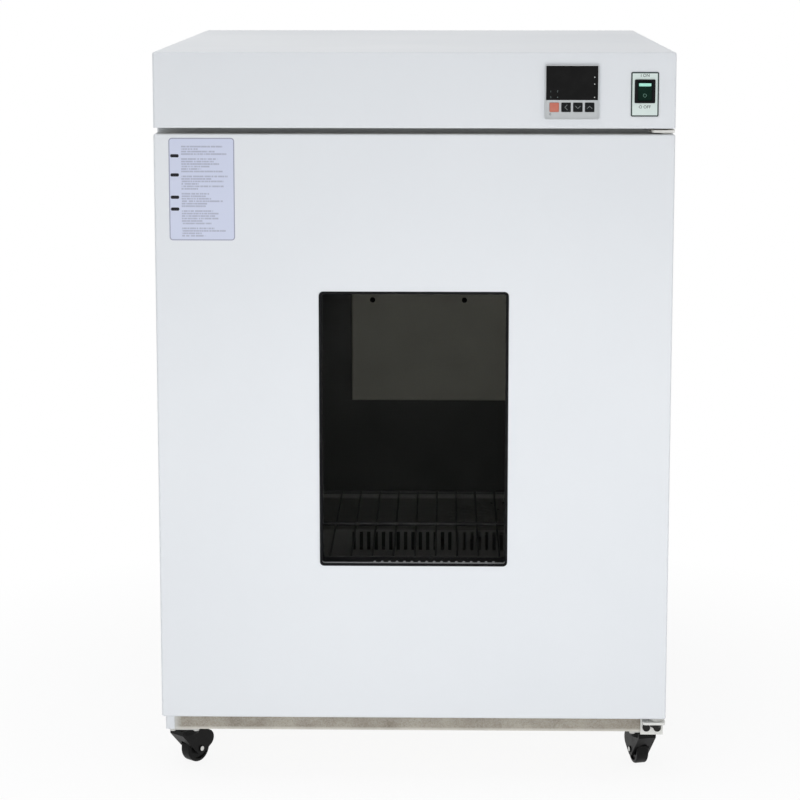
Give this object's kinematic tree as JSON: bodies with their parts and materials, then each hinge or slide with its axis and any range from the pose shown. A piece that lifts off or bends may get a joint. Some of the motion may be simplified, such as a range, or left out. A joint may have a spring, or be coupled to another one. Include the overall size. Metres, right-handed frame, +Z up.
{
  "type": "laboratory incubator",
  "caption": "Free-standing heated laboratory cabinet with a side-hinged window door, a control box on top, wire shelves, a fan-driven air duct and swivel castors.",
  "frame": {"origin": "on the floor, at the centre of the footprint", "axes": "+Z up, +X to the right as seen from the front, +Y towards the back; the door faces -Y"},
  "size_m": [0.69, 0.764, 0.998],
  "materials": {
    "white_coat": "pale blue-white powder coat, semi-gloss",
    "bare_steel": "bare zinc-coated sheet, dull",
    "stainless": "satin stainless sheet",
    "shelf_wire": "electropolished wire",
    "zinc": "zinc-plated",
    "mineral_wool": "compressed fibre slab",
    "window_glass": "clear, slightly grey",
    "black_rubber": "matte",
    "spacer_plastic": "matte",
    "nylon": "natural nylon",
    "castor_plastic": "black moulded nylon, satin",
    "motor_case": "cast, matte",
    "fan_sheet": "bare sheet",
    "black_plastic": "fine grain",
    "controller_plastic": "silver-grey",
    "display": "smoked, clear over dark",
    "red_key": "soft red",
    "black_key": "black",
    "mint_plastic": "pale mint",
    "green_plastic": "dark green, translucent",
    "relay_case": "off-white",
    "terminal_plastic": "off-white"
  },
  "bodies": {
    "cabinet": {"air_duct_cover": "stainless", "back_panel": "white_coat", "base_pan": "bare_steel", "casing_screws": "zinc", "castor_plates": "zinc", "castor_screws": "zinc", "control_cover": "white_coat", "control_floor": "bare_steel", "control_rear_panel": "white_coat", "controller_housing": "controller_plastic", "display_window": "display", "fan_motor": "motor_case", "front_frame": "bare_steel", "heater_element": "stainless", "heater_relay": "relay_case", "hinge_pins": "zinc", "hinge_screws": "zinc", "hinge_washers": "zinc", "inner_chamber": "stainless", "insulation_bottom": "mineral_wool", "insulation_rear": "mineral_wool", "insulation_sides": "mineral_wool", "insulation_top": "mineral_wool", "lower_hinge_bracket": "bare_steel", "mains_inlet": "black_plastic", "outer_shell": "white_coat", "rear_air_guide": "stainless", "shelf_clips": "stainless", "shelf_rails": "stainless", "switch_housing": "black_plastic", "switch_plate": "mint_plastic", "temperature_probe": "stainless", "terminal_strip": "terminal_plastic", "upper_hinge_bracket": "bare_steel", "wire_shelf_lower": "shelf_wire", "wire_shelf_upper": "shelf_wire"},
    "door": {"door_outer_panel": "white_coat", "door_inner_panel": "stainless", "door_insulation": "mineral_wool", "outer_glass": "window_glass", "inner_glass": "window_glass", "window_seal": "black_rubber", "window_spacer": "spacer_plastic", "door_gasket": "black_rubber", "door_grip": "black_plastic", "hinge_bushes": "nylon"},
    "set_key": {"key_set": "red_key"},
    "left_key": {"key_left": "black_key"},
    "down_key": {"key_down": "black_key"},
    "up_key": {"key_up": "black_key"},
    "rocker": {"power_rocker": "green_plastic"},
    "fan_rotor": {"fan_impeller": "fan_sheet"},
    "castor_front_left": {"castor_fork_front_left": "castor_plastic"},
    "wheel_front_left": {"castor_wheel_front_left": "castor_plastic"},
    "castor_front_right": {"castor_fork_front_right": "castor_plastic"},
    "wheel_front_right": {"castor_wheel_front_right": "castor_plastic"},
    "castor_rear_left": {"castor_fork_rear_left": "castor_plastic"},
    "wheel_rear_left": {"castor_wheel_rear_left": "castor_plastic"},
    "castor_rear_right": {"castor_fork_rear_right": "castor_plastic"},
    "wheel_rear_right": {"castor_wheel_rear_right": "castor_plastic"}
  },
  "joints": [
    {"name": "door_hinge", "type": "hinge", "parent": "cabinet", "child": "door", "pos_m": [0.333, -0.358, 0.49], "axis": [0, 0, 1], "range_deg": [0, 130]},
    {"name": "set_key_press", "type": "slide", "parent": "cabinet", "child": "set_key", "axis": [0, 1, 0], "range_m": [0, 0.0008], "stiffness_N_per_m": 2000},
    {"name": "left_key_press", "type": "slide", "parent": "cabinet", "child": "left_key", "axis": [0, 1, 0], "range_m": [0, 0.0008], "stiffness_N_per_m": 2000},
    {"name": "down_key_press", "type": "slide", "parent": "cabinet", "child": "down_key", "axis": [0, 1, 0], "range_m": [0, 0.0008], "stiffness_N_per_m": 2000},
    {"name": "up_key_press", "type": "slide", "parent": "cabinet", "child": "up_key", "axis": [0, 1, 0], "range_m": [0, 0.0008], "stiffness_N_per_m": 2000},
    {"name": "rocker_tilt", "type": "hinge", "parent": "cabinet", "child": "rocker", "pos_m": [0.3038, -0.3755, 0.947], "axis": [-1, 0, 0], "range_deg": [0, 16]},
    {"name": "fan_spin", "type": "hinge", "parent": "cabinet", "child": "fan_rotor", "pos_m": [0.13, 0.0991, 0.23], "axis": [0, 0, 1], "continuous": true},
    {"name": "castor_swivel_front_left", "type": "hinge", "parent": "cabinet", "child": "castor_front_left", "pos_m": [-0.32, -0.308, 0.05], "axis": [0, 0, 1], "continuous": true},
    {"name": "wheel_spin_front_left", "type": "hinge", "parent": "castor_front_left", "child": "wheel_front_left", "pos_m": [-0.30843, -0.29421, 0.02], "axis": [-0.766, 0.6428, 0], "continuous": true},
    {"name": "castor_swivel_front_right", "type": "hinge", "parent": "cabinet", "child": "castor_front_right", "pos_m": [0.32, -0.308, 0.05], "axis": [0, 0, 1], "continuous": true},
    {"name": "wheel_spin_front_right", "type": "hinge", "parent": "castor_front_right", "child": "wheel_front_right", "pos_m": [0.31534, -0.29061, 0.02], "axis": [-0.9659, -0.2588, 0], "continuous": true},
    {"name": "castor_swivel_rear_left", "type": "hinge", "parent": "cabinet", "child": "castor_rear_left", "pos_m": [-0.32, 0.3353, 0.05], "axis": [0, 0, 1], "continuous": true},
    {"name": "wheel_spin_rear_left", "type": "hinge", "parent": "castor_rear_left", "child": "wheel_rear_left", "pos_m": [-0.30525, 0.34562, 0.02], "axis": [-0.5736, 0.8192, 0], "continuous": true},
    {"name": "castor_swivel_rear_right", "type": "hinge", "parent": "cabinet", "child": "castor_rear_right", "pos_m": [0.32, 0.3353, 0.05], "axis": [0, 0, 1], "continuous": true},
    {"name": "wheel_spin_rear_right", "type": "hinge", "parent": "castor_rear_right", "child": "wheel_rear_right", "pos_m": [0.32313, 0.35303, 0.02], "axis": [-0.9848, 0.1736, 0], "continuous": true}
  ]
}
